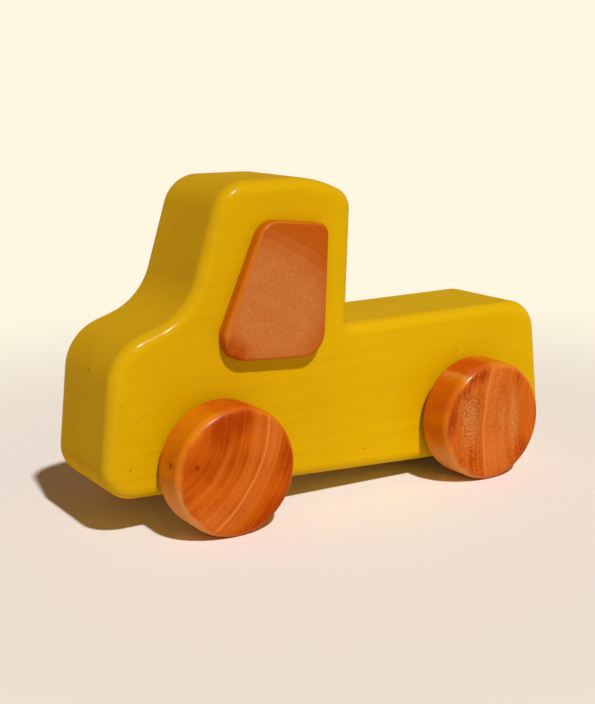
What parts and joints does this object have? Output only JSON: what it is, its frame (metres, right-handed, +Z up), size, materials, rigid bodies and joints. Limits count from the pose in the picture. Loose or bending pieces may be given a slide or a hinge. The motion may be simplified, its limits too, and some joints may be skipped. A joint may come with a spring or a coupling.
{
  "type": "wooden toy truck",
  "caption": "Wooden toy pickup truck: a rounded painted block with a cab and a flat cargo bed, stained window plates on its sides, and thick stained wheels that turn on dowel axles.",
  "frame": {"origin": "centre of the truck's outline seen from above, on the floor that the wheels stand on", "axes": "+X towards the nose, +Y towards the truck's left side, +Z up"},
  "size_m": [0.1664, 0.0698, 0.1039],
  "materials": {
    "yellow_paint": "glossy brushed yellow paint over close-grained wood",
    "stained_window_wood": "orange-brown stain, satin face with glossier edges",
    "stained_wheel_wood": "orange-brown stain under clear gloss lacquer",
    "plain_dowel_wood": "bare sanded dowel"
  },
  "bodies": {
    "truck_body": {"body_block": "yellow_paint", "left_window_plate": "stained_window_wood", "right_window_plate": "stained_window_wood"},
    "front_wheelset": {"front_axle": "plain_dowel_wood", "front_left_wheel": "stained_wheel_wood", "front_right_wheel": "stained_wheel_wood"},
    "rear_wheelset": {"rear_axle": "plain_dowel_wood", "rear_left_wheel": "stained_wheel_wood", "rear_right_wheel": "stained_wheel_wood"}
  },
  "joints": [
    {"name": "front_axle_spin", "type": "hinge", "parent": "truck_body", "child": "front_wheelset", "pos_m": [0.04756, 0, 0.02], "axis": [0, 1, 0], "continuous": true},
    {"name": "rear_axle_spin", "type": "hinge", "parent": "truck_body", "child": "rear_wheelset", "pos_m": [-0.04941, 0, 0.02], "axis": [0, 1, 0], "continuous": true}
  ]
}
